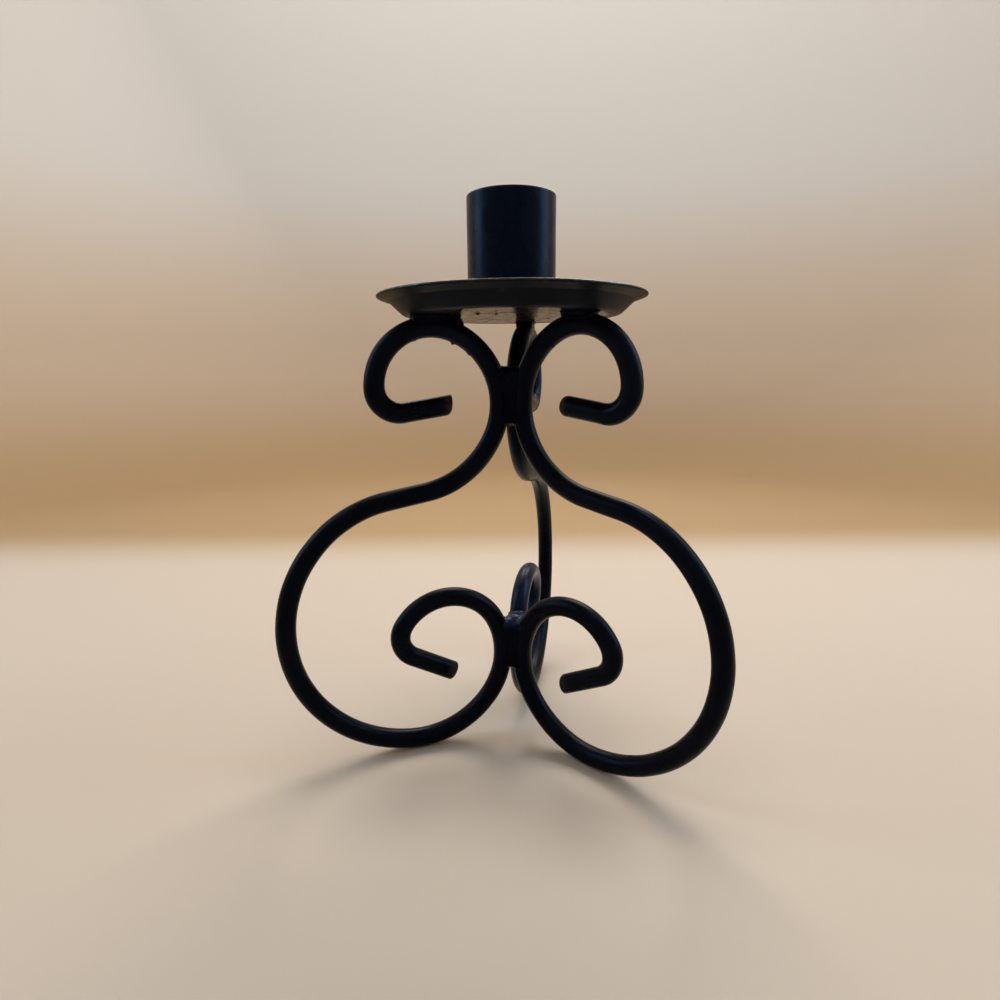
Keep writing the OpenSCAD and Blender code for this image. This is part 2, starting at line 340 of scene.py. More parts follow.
def buildLeg(name):
    s = rodFinish
    sides = s["sides"]
    radius = legShape["rodRadius"] - s["shy"]
    angles = np.arange(sides) * 2 * math.pi / sides
    across, sideways = np.cos(angles), np.sin(angles)
    kernel = np.hanning(s["spreadRings"])
    kernel /= kernel.sum()
    bending = np.convolve(lineCurvatures * legShape["upperHookRadius"], kernel, mode="same")
    spread = s["spread"] * np.clip(bending, 0, 1) ** 2
    waves = makeWaves(name, s["unevenLength"])
    direction = legDirections[name]
    rings, bare = [], []

    def addRing(i, radii, shift, widened, bareness):
        heading = lineHeadings[i]
        normal = np.array([-heading[1], heading[0]])
        away, up, tilt = legDrift(name, i / len(linePoints))
        outward = across * radii * (1 + widened)
        spots = linePoints[i] + np.outer(outward, normal) + np.outer(shift, heading) + (away, up)
        lateral = sideways * radii * (1 - s["thinning"] * widened)
        lateral = lateral + sideLean(name, spots[:, 1]) + tilt * (spots[:, 1] - curlPivot)
        swell = s["unevenness"] * (waveHeight(inRoom(spots, lateral, direction), waves) - 1)
        spots = spots + np.outer(across * swell, normal)
        rings.append(inRoom(spots, lateral + sideways * swell, direction))
        bare.append(np.full(sides, bareness))

    def tipRings(cut, outerSide):
        outer, inner, lean = cut
        rounding = (outer + inner) / 2 + (outer - inner) / 2 * across * outerSide
        slope = math.tan(math.radians(lean))
        crown = s["tipCrown"]
        flat = np.maximum(radius - rounding, 0.3)
        profile = [(flat * share, -crown * share**2) for share in (0.15, 0.5, 0.8)]
        for arc in np.radians([90, 65, 42, 22, 6]):
            reach = radius - rounding * (1 - math.cos(arc))
            profile.append((reach, -crown - rounding * (1 - math.sin(arc))))
        return [(radii, shift + slope * across * radii) for radii, shift in profile]

    skip = round(s["tipLength"] / s["step"])
    last = len(linePoints) - 1
    for radii, shift in tipRings(tipCuts[name]["upper"], -1):
        addRing(0, radii, -shift, 0, s["tipBare"])
    for i in range(skip, last - skip):
        addRing(i, np.full(sides, radius), np.zeros(sides), spread[i], 0)
    for radii, shift in reversed(tipRings(tipCuts[name]["lower"], 1)):
        addRing(last, radii, shift, 0, s["tipBare"])
    points = np.concatenate(rings)
    bare = np.concatenate(bare)
    bare = np.maximum(bare, np.clip(1 - points[:, 2] / s["footBare"], 0, 1))
    for x, z, size, width in paintNibs[name]:
        spot = np.array([x, z])
        nearest = linePoints[((linePoints - spot) ** 2).sum(1).argmin()]
        away = (spot - nearest) / np.linalg.norm(spot - nearest)
        centre = inRoom(nearest + away * radius, 0.0, direction)
        push = size * np.exp(-((points - centre) ** 2).sum(1) / width**2)
        points = points + np.outer(push, inRoom(away, 0.0, direction))
    glossAndSheen = np.zeros(len(points))
    for x, z, reach, share in thickPaintAndSheen[name]:
        centre = inRoom(np.array([x, z]), 0.0, direction)
        glossAndSheen = np.maximum(glossAndSheen, share * np.exp(-((points - centre) ** 2).sum(1) / reach**2))
    faces = joinRings(len(rings), sides)
    faces.append(range(sides))
    faces.append(range((len(rings) - 1) * sides, len(rings) * sides))
    return addPiece(name + "_rod", points, faces, name, bare, glossAndSheen)


legs = {name: buildLeg(name) for name in legDirections}
print("legs:", {name: len(leg.data.vertices) for name, leg in legs.items()}, "points")


# Weld metal: grown as a field of distances in mm, below 0 inside, and skinned cell by cell
def smoothLeast(a, b, reach):
    overlap = np.maximum(reach - np.abs(a - b), 0) / reach
    return np.minimum(a, b) - overlap**2 * reach / 4


def smoothMost(a, b, reach):
    return -smoothLeast(-a, -b, reach)


def skinField(field, corner, step):
    cells = tuple(n - 1 for n in field.shape)
    inside = field < 0

    def part(values, shift):
        return values[tuple(slice(a, a + count) for a, count in zip(shift, cells))]

    corners = [(i, j, k) for i in (0, 1) for j in (0, 1) for k in (0, 1)]
    sums = np.zeros(cells + (3,))
    counts = np.zeros(cells)
    for start in corners:
        for axis in range(3):
            if start[axis]:
                continue
            end = tuple(v + (n == axis) for n, v in enumerate(start))
            a, b = part(field, start), part(field, end)
            crossed = (a < 0) != (b < 0)
            share = np.where(crossed, a / np.where(crossed, a - b, 1), 0)
            for n in range(3):
                sums[..., n] += crossed * (start[n] + share * (n == axis))
            counts += crossed
    used = counts > 0
    index = np.full(cells, -1)
    index[used] = np.arange(used.sum())
    points = np.array(corner) + step * (np.argwhere(used) + sums[used] / counts[used][:, None])
    faces = []
    for axis in range(3):
        one, two = (axis + 1) % 3, (axis + 2) % 3
        ahead = np.roll(inside, -1, axis)
        for place in np.argwhere(inside != ahead):
            if place[axis] == field.shape[axis] - 1 or place[one] == 0 or place[two] == 0:
                continue
            around = []
            for stepOne, stepTwo in ((0, 0), (1, 0), (1, 1), (0, 1)):
                cell = place.copy()
                cell[one] -= stepOne
                cell[two] -= stepTwo
                around.append(index[tuple(cell)])
            faces.append(around)
    return points, faces


weldLine, _, _ = legLine(legShape, 0.35)
jointDepth = 5.4  # mm from a joint down to the bottom of its CAD weld
jointHeights = {
    name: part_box(name)[0].z / mm + jointDepth for name in ("upper_leg_weld", "lower_leg_weld")
}
print("joint heights in mm", {name: round(value, 2) for name, value in jointHeights.items()})
weldFinish = {
    "step": 0.22,  # mm between field samples
    "proud": 0.07,  # mm that a bead's edge stands on the rod
    "toe": 0.07,  # mm of filling below which the bead ends
    "roughness": 0.06,  # mm
    "lumpLength": 2.4,  # mm
    "fineShare": 0.5,  # of the finer lumps, which are shorter by fineLength
    "fineLength": 2.5,
    "jointReach": 7.6,  # mm from the middle that holds a joint weld
    "panReach": 10.5,  # mm from the top of a leg that holds its weld
    "pinned": 0.4,  # mm over which a bead runs out
    "lineMargin": 4,  # mm of rod beyond a weld's ends that it still feels
    "lineReach": 34,  # mm from the middle beyond which it doesn't feel a rod
}


def weldLumps(name, points):
    s = weldFinish
    coarse = waveHeight(points, makeWaves(name, s["lumpLength"]))
    fine = waveHeight(points, makeWaves(name + "fine", s["lumpLength"] / s["fineLength"]))
    return coarse + s["fineShare"] * fine


def fieldGrid(low, high, step):
    axes = [np.arange(a, b + step, step) for a, b in zip(low, high)]
    return np.stack(np.meshgrid(*axes, indexing="ij"), -1)


def rodDistances(points, low, high):  # to each leg's rod between two heights
    margin = weldFinish["lineMargin"]
    near = (weldLine[:, 1] > low - margin) & (weldLine[:, 1] < high + margin)
    near &= weldLine[:, 0] < weldFinish["lineReach"]
    shares = np.arange(len(weldLine)) / len(weldLine)
    out = []
    for name, direction in legDirections.items():
        bent = weldLine + legDrift(name, shares)[:, :2]
        c, s = toward(direction)
        along = points[..., 0] * c + points[..., 1] * s
        aside = points[..., 1] * c - points[..., 0] * s - sideLean(name, points[..., 2])
        least = np.full(along.shape, 1e6)
        for x, z in bent[near]:
            np.minimum(least, (along - x) ** 2 + (points[..., 2] - z) ** 2, out=least)
        out.append(np.sqrt(least + aside**2) - legShape["rodRadius"])
    return out


# Joint welds, mm: how far the filling reaches down and up from the joint, how wide its core is at the
# joint and at its ends, how far the ends lie to +X and +Y, and the roundings; lumps and gloss are shares
jointWelds = {
    "upper_leg_weld": {
        "down": 6.8, "up": 10.7, "waist": 3.0, "ends": 4.0, "shift": (0, 0),
        "blend": 3.0, "pool": 2.4, "heel": 4.2, "lumps": 0.6, "glossAndSheen": 0.1,
    },
    "lower_leg_weld": {
        "down": 5.8, "up": 11.3, "waist": 2.6, "ends": 4.2, "shift": (1.3, 0.8),
        "blend": 3.4, "pool": 4.4, "heel": 4.0, "lumps": 0.35, "glossAndSheen": 0.9,
    },
}


def fade(values, full, none):  # from 1 at full to 0 at none
    share = np.clip((values - none) / (full - none), 0, 1)
    return share * share * (3 - 2 * share)


def buildJointWeld(name):
    s, w = weldFinish, jointWelds[name]
    height = jointHeights[name]
    half = s["jointReach"]
    low = (-half, -half, height - w["down"] - 1.6)  # with room for the field past both ends
    high = (half, half, height + w["up"] + 2.4)
    points = fieldGrid(low, high, s["step"])
    rods = rodDistances(points, low[2], high[2])
    bareRods = np.minimum(np.minimum(rods[0], rods[1]), rods[2])
    rise = points[..., 2] - height
    share = np.clip(np.where(rise > 0, rise / w["up"], -rise / w["down"]), 0, 1)
    shiftX, shiftY = w["shift"]
    across = np.hypot(points[..., 0] - shiftX * share, points[..., 1] - shiftY * share)
    core = across - (w["waist"] + (w["ends"] - w["waist"]) * share)
    core = smoothMost(core, rise - w["up"], w["pool"])
    core = smoothMost(core, -rise - w["down"], w["heel"])
    topFade = fade(rise, w["up"] - 2.5, w["up"] + 1.8)
    lowFade = fade(rise, 2 - w["down"], -0.8 - w["down"])
    blend = 0.05 + w["blend"] * topFade * lowFade  # the fillets run out at both ends
    lumps = weldLumps(name, points)
    lumps *= 0.35 + 1.3 * fade(rise, w["up"] - 1, w["up"] - 4)  # the pool on top is the bumpy part
    filled = smoothLeast(smoothLeast(rods[0], rods[1], blend), rods[2], blend)
    filled = smoothLeast(filled, core, blend)
    depth = bareRods - filled
    skin = filled - s["proud"] * fade(rise, 3, -2) - w["lumps"] * s["roughness"] * lumps
    field = smoothMost(skin, 2 * (s["toe"] - depth), s["pinned"])
    spots, faces = skinField(field, low, s["step"])
    # On the pool's top: thick glossy paint, and a painted blue highlight in the weld enamel's colour
    glossAndSheen = w["glossAndSheen"] * fade(spots[:, 2] - height, w["up"] - 1, w["up"] - 4)
    return addPiece(name + "_bead", spots, faces, name, glossAndSheen=glossAndSheen)


welds = [buildJointWeld(name) for name in jointWelds]
print("joint welds:", [len(weld.data.vertices) for weld in welds], "points")

panWelds = {  # mm: reach along the rod towards the middle and away from it, and across it
    "leg_left": {"inner": 8.8, "outer": 5.4, "across": 4.4},
    "leg_right": {"inner": 5.6, "outer": 5.4, "across": 4.4},
    "leg_rear": {"inner": 4.8, "outer": 4.6, "across": 4.0},
}
panWeldShape = {  # mm
    "blend": 2.2,  # fillet between rod and sheet
    "coreHalf": 1.9,  # half width of the metal between rod and sheet
    "coreDrop": 3.2,  # how far that metal hangs below the sheet
    "coreBlend": 1.5,
    "edgeRound": 0.9,
    "sunk": 0.25,  # how far the bead runs into the sheet
}


def buildPanWeld(name, leg):
    s, w, p = weldFinish, panWelds[leg], panWeldShape
    direction = legDirections[leg]
    crown = weldLine[weldLine[:, 1].argmax()]
    c, t = toward(direction)
    centre = np.array([crown[0] * c, crown[0] * t])
    half = s["panReach"]
    low = (centre[0] - half, centre[1] - half, panBottom - 4.2)
    points = fieldGrid(low, (centre[0] + half, centre[1] + half, panBottom + 0.6), s["step"])
    rod = rodDistances(points, panBottom - 4, panBottom)[list(legDirections).index(leg)]
    sheet = panBottom - points[..., 2]
    lumps = weldLumps(name, points)
    along = (points[..., 0] - centre[0]) * c + (points[..., 1] - centre[1]) * t
    aside = (points[..., 1] - centre[1]) * c - (points[..., 0] - centre[0]) * t
    radius = np.hypot(along / np.where(along < 0, w["inner"], w["outer"]), aside / w["across"])
    reach = (radius - 1) * w["across"] - 0.3 * lumps
    core = smoothMost(np.abs(aside) - p["coreHalf"], panBottom - p["coreDrop"] - points[..., 2], 1)
    filled = smoothLeast(smoothLeast(rod, sheet, p["blend"]), core, p["coreBlend"])
    depth = np.minimum(rod, sheet) - filled
    skin = filled - s["proud"] - s["roughness"] * lumps
    field = smoothMost(smoothMost(skin, 2 * (s["toe"] - depth), s["pinned"]), reach, p["edgeRound"])
    field = np.maximum(field, points[..., 2] - panBottom - p["sunk"])
    spots, faces = skinField(field, low, s["step"])
    return addPiece(name + "_bead", spots, faces, name)


for side in ("left", "right", "rear"):
    weld = buildPanWeld("pan_weld_" + side, "leg_" + side)
    welds.append(weld)
print("pan welds:", [len(weld.data.vertices) for weld in welds[2:]], "points")


def revolve(profile, sides, closed):  # profile: radius and height in mm; every point gets a full ring
    angles = np.arange(sides) * 2 * math.pi / sides
    profile = np.array(profile)
    x = np.outer(profile[:, 0], np.cos(angles))
    y = np.outer(profile[:, 0], np.sin(angles))
    z = np.repeat(profile[:, 1][:, None], sides, 1)
    return np.stack([x, y, z], -1).reshape(-1, 3), joinRings(len(profile), sides, closed)


# Drip pan: one stamped disc with a sloping wall and a flatter lip
panShape = {  # mm and degrees
    "radius": 38.07,
    "sheet": 0.8,
    "depth": 4.8,
    "wallSlope": 43,
    "lipSlope": 20,
    "lip": 3,
    "bendRadius": 2,
    "sides": 400,
    "step": 0.45,
    "warp": 0.07,  # mm that the stamped sheet waves towards its lip
    "warpLength": 55,
    "warpStart": 26,  # distance from the middle
    "warpReach": 12,
    "ripple": 0.015,
    "rippleLength": 11,
    "printRadius": 12.7,  # heat print of the cup's weld
    "printHeight": 0.15,
    "floorRadius": 27.5,  # of the flat middle, whose underside the dipped paint left glossy
    "underGloss": 0.75,
}
# Weld spatter under the pan: x, y, width and height in mm
panSpatter = [(-6.76, -12.88, 0.75, 0.55), (-2.12, -11.37, 0.65, 0.6), (9.5, 9.2, 0.5, 0.3)]


def panMiddle(s):  # points of the sheet's middle line with the slope there, from the centre to the edge
    half = s["sheet"] / 2
    edge = np.array([s["radius"] - half, s["depth"] + half])
    lipStart = edge - s["lip"] * toward(s["lipSlope"])
    knee = lipStart - s["bendRadius"] * toward(s["lipSlope"] + 90)
    wallTop = knee + s["bendRadius"] * toward(s["wallSlope"] + 90)
    floorBendHeight = half + s["bendRadius"]
    side, up = s["bendRadius"] * toward(s["wallSlope"] - 90)
    wallRise = wallTop[1] - floorBendHeight - up
    wallRun = wallRise / math.tan(math.radians(s["wallSlope"]))
    floorBend = np.array([wallTop[0] - wallRun - side, floorBendHeight])
    line = []
    flat = round(floorBend[0] / s["step"])
    for i in range(flat):
        line.append((floorBend[0] * max(i, 0.05) / flat, half, 0))
    for slope in np.linspace(0, s["wallSlope"], 9):
        line.append((*(floorBend + s["bendRadius"] * toward(slope - 90)), slope))
    wallBottom = np.array(line[-1][:2])
    for share in np.linspace(0, 1, 9)[1:-1]:
        line.append((*(wallBottom + (wallTop - wallBottom) * share), s["wallSlope"]))
    for slope in np.linspace(s["wallSlope"], s["lipSlope"], 7):
        line.append((*(knee + s["bendRadius"] * toward(slope + 90)), slope))
    for share in np.linspace(0, 1, 8)[1:]:
        line.append((*(lipStart + (edge - lipStart) * share), s["lipSlope"]))
    return np.array(line)


def buildPan():
    s = panShape
    line = panMiddle(s)
    half = s["sheet"] / 2
    slopes = np.radians(line[:, 2])
    offset = half * np.stack([-np.sin(slopes), np.cos(slopes)], 1)
    upper, lower = line[:, :2] + offset, line[:, :2] - offset
    edge = line[-1, :2]
    rim = [edge + half * toward(s["lipSlope"] - 90 + 180 * i / 10) for i in range(1, 10)]
    profile = np.concatenate([lower, rim, upper[::-1]])
    profile[:, 1] += panBottom
    points, faces = revolve(profile, s["sides"], False)
    under = np.zeros(len(profile), bool)
    under[: len(lower)] = True
    under = np.repeat(under, s["sides"])
    radius = np.hypot(points[:, 0], points[:, 1])
    angle = np.arctan2(points[:, 1], points[:, 0])
    flat = np.stack([points[:, 0], points[:, 1], np.zeros(len(points))], 1)
    share = np.clip((radius - s["warpStart"]) / s["warpReach"], 0, 1)
    points[:, 2] += s["warp"] * (waveHeight(flat, makeWaves("pan", s["warpLength"])) - 1) * share**2
    ripple = s["ripple"] * waveHeight(flat, makeWaves("panFine", s["rippleLength"]))
    points[:, 2] += ripple * np.clip(radius / 20, 0, 1)
    ring = np.exp(-(((radius - s["printRadius"]) / 0.55) ** 2)) * (0.65 + 0.35 * np.sin(3 * angle + 1))
    points[:, 2] -= under * s["printHeight"] * ring
    glossAndSheen = s["underGloss"] * under * fade(radius, s["floorRadius"] - 1, s["floorRadius"] + 0.5)
    for x, y, width, height in panSpatter:
        away = np.hypot(points[:, 0] - x, points[:, 1] - y) / width
        points[:, 2] -= under * height * np.exp(-(away**2) * 1.6)
        glossAndSheen *= 1 - np.exp(-(away**2) * 0.8)
    sides = s["sides"]
    count = len(profile)
    faces.append(range(sides))
    faces.append(range((count - 1) * sides, count * sides))
    onRim = points[:, 2] > panBottom + s["depth"] + 0.3
    glossAndSheen = np.maximum(glossAndSheen, onRim * np.exp(-(((radius - s["radius"]) / 0.45) ** 2)))
    return addPiece("drip_pan_sheet", points, faces, "drip_pan", glossAndSheen=glossAndSheen)


pan = buildPan()
print("pan:", len(pan.data.vertices), "points")

# Candle cup: a cut length of tube, standing open on the pan
cupShape = {  # mm
    "outer": 12.47,
    "wall": 1.0,
    "mouthRound": 0.3,
    "sides": 480,
    "step": 0.45,
    "unevenness": 0.025,
    "unevenLength": 16,
    "fineLength": 5,
}
# Paint runs: direction in degrees, lower end, length, width and size in mm
cupRuns = [(268, 137.2, 5.0, 0.35, 0.22), (300, 136.8, 2.4, 0.5, 0.12), (120, 131.8, 4.0, 0.7, 0.15)]


def buildCup():
    s = cupShape
    outer, inner, r = s["outer"], s["outer"] - s["wall"], s["mouthRound"]
    rows = round((cupTop - cupBottom) / s["step"])
    heights = np.linspace(cupBottom, cupTop - r, rows)
    profile = [(outer, z) for z in heights]
    arcs = np.radians([18, 36, 54, 72, 90])
    profile += [(outer - r + r * math.cos(t), cupTop - r + r * math.sin(t)) for t in arcs]
    profile += [(inner + r - r * math.cos(t), cupTop - r + r * math.sin(t)) for t in arcs[::-1]]
    profile += [(inner, z) for z in heights[::-1]]
    points, faces = revolve(profile, s["sides"], True)
    radius = np.hypot(points[:, 0], points[:, 1])
    angle = np.degrees(np.arctan2(points[:, 1], points[:, 0])) % 360
    out = points[:, :2] / radius[:, None]
    swell = s["unevenness"] * (waveHeight(points, makeWaves("cup", s["unevenLength"])) - 1)
    swell += 0.4 * s["unevenness"] * (waveHeight(points, makeWaves("cupFine", s["fineLength"])) - 1)
    outside = radius > inner + 0.5
    for place, bottom, length, width, size in cupRuns:
        aside = (angle - place) * math.pi / 180 * outer / width
        up = (points[:, 2] - bottom) / length
        run = np.where(up > 0, 1 - np.clip(up, 0, 1), np.exp(-((up * 5) ** 2)))
        swell += outside * size * np.exp(-(aside**2) * 3) * run
    points[:, :2] += out * swell[:, None]
    mouth = np.clip((points[:, 2] - cupTop + 0.5) / 0.5, 0, 1) * (radius > inner + 0.3)
    bare, glossAndSheen = 0.45 * mouth, 0.4 * mouth
    return addPiece("candle_cup_tube", points, faces, "candle_cup", bare, glossAndSheen)


cup = buildCup()

cupWeldShape = {
    "leg": 1.25,  # mm
    "sides": 560,
    "tacks": 46,  # puddles round the cup
    "tackSize": 0.12,  # shares of the fillet's size
    "lumps": 0.1,
}


def buildCupWeld():  # a small fillet of overlapping puddles round the cup's foot
    s = cupWeldShape
    foot = cupShape["outer"]
    profile = [(foot - 0.25, cupBottom - 0.15)]
    for t in np.radians(np.linspace(0, 90, 15)):
        profile.append((foot + s["leg"] * math.cos(t), cupBottom + s["leg"] * math.sin(t)))
    profile.append((foot - 0.25, cupBottom + s["leg"]))
    points, faces = revolve(profile, s["sides"], True)
    radius = np.hypot(points[:, 0], points[:, 1])
    angle = np.arctan2(points[:, 1], points[:, 0])
    wander = 0.75 * np.sin(5 * angle) + 0.45 * np.sin(11 * angle + 1)
    puddles = np.abs(np.sin(angle * s["tacks"] / 2 + wander))
    lumps = waveHeight(points, makeWaves("cupWeld", 3.2))
    grow = np.clip(0.8 + s["tackSize"] * (puddles - 1) + s["lumps"] * lumps, 0.4, 1)[:, None]
    seat = np.column_stack([points[:, :2] / radius[:, None] * foot, np.full(len(points), cupBottom)])
    outside = (radius > foot - 0.1)[:, None]
    points = np.where(outside, seat + (points - seat) * grow, points)
    return addPiece("cup_weld_bead", points, faces, "cup_weld")


welds.append(buildCupWeld())
print("cup and its weld built")


# Shader groups
def addNode(tree, kind, values=None, **settings):
    node = tree.nodes.new(kind)
    for key, value in settings.items():
        setattr(node, key, value)
    for key, value in (values or {}).items():
        node.inputs[key].default_value = value
    return node


def makeGroup(name, inputs, outputs):
    tree = bpy.data.node_groups.new(name, "ShaderNodeTree")
    for label, value in inputs.items():
        socket = tree.interface.new_socket(label, in_out="INPUT", socket_type="NodeSocketFloat")
        socket.default_value = value
    for label in outputs:
        tree.interface.new_socket(label, in_out="OUTPUT", socket_type="NodeSocketFloat")
    return tree, tree.nodes.new("NodeGroupInput"), tree.nodes.new("NodeGroupOutput")


def millimetres(tree):  # object coordinates in mm
    place = tree.nodes.new("ShaderNodeTexCoord")
    scaled = addNode(tree, "ShaderNodeVectorMath", {"Scale": 1000}, operation="SCALE")
    tree.links.new(place.outputs["Object"], scaled.inputs[0])
    return scaled.outputs[0]


def noiseOf(tree, where, scale, detail=2, roughness=0.5):
    node = addNode(tree, "ShaderNodeTexNoise", {"Detail": detail, "Roughness": roughness})
    tree.links.new(where, node.inputs["Vector"])
    if isinstance(scale, (int, float)):
        node.inputs["Scale"].default_value = scale
    else:
        tree.links.new(scale, node.inputs["Scale"])
    return node.outputs["Fac"]


def mathOf(tree, operation, *values, clamp=False):
    node = addNode(tree, "ShaderNodeMath", operation=operation, use_clamp=clamp)
    for socket, value in zip(node.inputs, values):
        if isinstance(value, (int, float)):
            socket.default_value = value
        else:
            tree.links.new(value, socket)
    return node.outputs[0]


def mixColors(tree, mask, first, second):  # colours are sockets or plain numbers
    node = addNode(tree, "ShaderNodeMix", data_type="RGBA")
    tree.links.new(mask, node.inputs["Factor"])
    for socket, value in ((node.inputs[6], first), (node.inputs[7], second)):
        if isinstance(value, tuple):
            socket.default_value = (*value, 1)
        else:
            tree.links.new(value, socket)
    return node.outputs[2]


def ramp(tree, value, low, high, outLow=0, outHigh=1):
    node = addNode(tree, "ShaderNodeMapRange", interpolation_type="SMOOTHSTEP")
    tree.links.new(value, node.inputs["Value"])
    limits = {"From Min": low, "From Max": high, "To Min": outLow, "To Max": outHigh}
    for label, number in limits.items():
        node.inputs[label].default_value = number
    return node.outputs["Result"]


def makePaintSkin():  # how enamel lies: orange peel, slow sags and nibs of dust under the paint
    inputs = {"Peel Size": 0.9, "Peel": 0.01, "Sag": 0.05, "Nibs": 0.04}
    tree, given, result = makeGroup("paintSkin", inputs, ["Height", "Tone"])
    where = millimetres(tree)
    peelScale = mathOf(tree, "DIVIDE", 1, given.outputs["Peel Size"])
    peel = mathOf(tree, "MULTIPLY", noiseOf(tree, where, peelScale, 2), given.outputs["Peel"])
    sag = mathOf(tree, "MULTIPLY", noiseOf(tree, where, 0.16, 1), given.outputs["Sag"])
    cells = addNode(tree, "ShaderNodeTexVoronoi", {"Scale": 0.42, "Randomness": 1})
    tree.links.new(where, cells.inputs["Vector"])
    dot = ramp(tree, cells.outputs["Distance"], 0.13, 0.03)
    pick = addNode(tree, "ShaderNodeSeparateColor")
    tree.links.new(cells.outputs["Color"], pick.inputs[0])
    chosen = mathOf(tree, "GREATER_THAN", pick.outputs[0], 0.72)
    nibs = mathOf(tree, "MULTIPLY", mathOf(tree, "MULTIPLY", dot, chosen), given.outputs["Nibs"])
    height = mathOf(tree, "ADD", mathOf(tree, "ADD", peel, sag), nibs)
    tree.links.new(height, result.inputs["Height"])
    tree.links.new(noiseOf(tree, where, 0.11, 4, 0.6), result.inputs["Tone"])
    return tree


def makeEdgeWear():  # paint rubbed thin on convex edges, broken up
    tree, given, result = makeGroup("edgeWear", {"Amount": 0.5, "Start": 0.54}, ["Mask"])
    shape = tree.nodes.new("ShaderNodeNewGeometry")
    where = millimetres(tree)
    above = mathOf(tree, "SUBTRACT", shape.outputs["Pointiness"], given.outputs["Start"])
    edge = mathOf(tree, "MULTIPLY", above, 14, clamp=True)
    broken = ramp(tree, noiseOf(tree, where, 0.9, 4, 0.65), 0.42, 0.62)
    worn = mathOf(tree, "MULTIPLY", edge, broken)
    mask = mathOf(tree, "MULTIPLY", worn, given.outputs["Amount"], clamp=True)
    tree.links.new(mask, result.inputs["Mask"])
    return tree


def makeSettledDust():  # a thin film with lint on faces that look up
    tree, given, result = makeGroup("settledDust", {"Amount": 0.3}, ["Mask"])
    shape = tree.nodes.new("ShaderNodeNewGeometry")
    axes = tree.nodes.new("ShaderNodeSeparateXYZ")
    tree.links.new(shape.outputs["Normal"], axes.inputs[0])
    where = millimetres(tree)
    up = ramp(tree, axes.outputs["Z"], 0.35, 1)
    cloud = ramp(tree, noiseOf(tree, where, 0.35, 5, 0.7), 0.35, 0.75)
    grain = ramp(tree, noiseOf(tree, where, 5, 2), 0.55, 0.72)
    film = mathOf(tree, "MULTIPLY", cloud, 0.35)
    film = mathOf(tree, "ADD", film, mathOf(tree, "MULTIPLY", grain, 0.65))
    film = mathOf(tree, "MULTIPLY", up, film)
    mask = mathOf(tree, "MULTIPLY", film, given.outputs["Amount"], clamp=True)
    tree.links.new(mask, result.inputs["Mask"])
    return tree


paintSkin, edgeWear, settledDust = makePaintSkin(), makeEdgeWear(), makeSettledDust()
print("shader groups made")

# Black enamel: the same paint over rod, sheet, tube and weld, each with its own lie
enamelLooks = {
    "rodEnamel": {
        "base": (0.0010, 0.0008, 0.0018), "tone": (0.0022, 0.0018, 0.0036),
        "rough": (0.26, 0.38), "peelSize": 0.8, "peel": 0.008, "sag": 0.05, "nibs": 0.03,
        "wear": 0.35, "dust": 0.05, "specular": 0.09, "paintedSheen": 1, "coat": 0.27, "coatRough": 0.18,
    },
    "panEnamel": {
        "base": (0.0064, 0.0078, 0.0102), "tone": (0.0086, 0.0102, 0.0134),
        "rough": (0.36, 0.46), "peelSize": 0.9, "peel": 0.004, "sag": 0.02, "nibs": 0.02,
        "wear": 0.35, "dust": 0.12, "specular": 0.045, "paintedSheen": 0, "coat": 1, "coatRough": 0.14,
    },
    "cupEnamel": {
        "base": (0.0010, 0.0026, 0.0090), "tone": (0.0017, 0.0037, 0.0120),
        "rough": (0.24, 0.32), "peelSize": 0.7, "peel": 0.005, "sag": 0.03, "nibs": 0.02,
        "wear": 0.3, "dust": 0.10, "specular": 0.10, "paintedSheen": 0, "coat": 1, "coatRough": 0.16,
    },
    "weldEnamel": {
        "base": (0.0010, 0.0009, 0.0020), "tone": (0.0024, 0.0024, 0.0048),
        "rough": (0.20, 0.32), "peelSize": 0.5, "peel": 0.012, "sag": 0.08, "nibs": 0.05,
        "wear": 0.06, "dust": 0.05, "specular": 0.055, "paintedSheen": 1, "coat": 0.22, "coatRough": 0.3,
    },
}
underPaint = {
    "bare": (0.105, 0.070, 0.050),
    "dust": (0.30, 0.27, 0.24),
    "tint": (0.35, 0.55, 1.0),  # of what the paint reflects
    "paintedSheen": (0.009, 0.019, 0.058),  # painted blue sheen: a highlight colour mixed into the base colour where the paint lies thickly
}


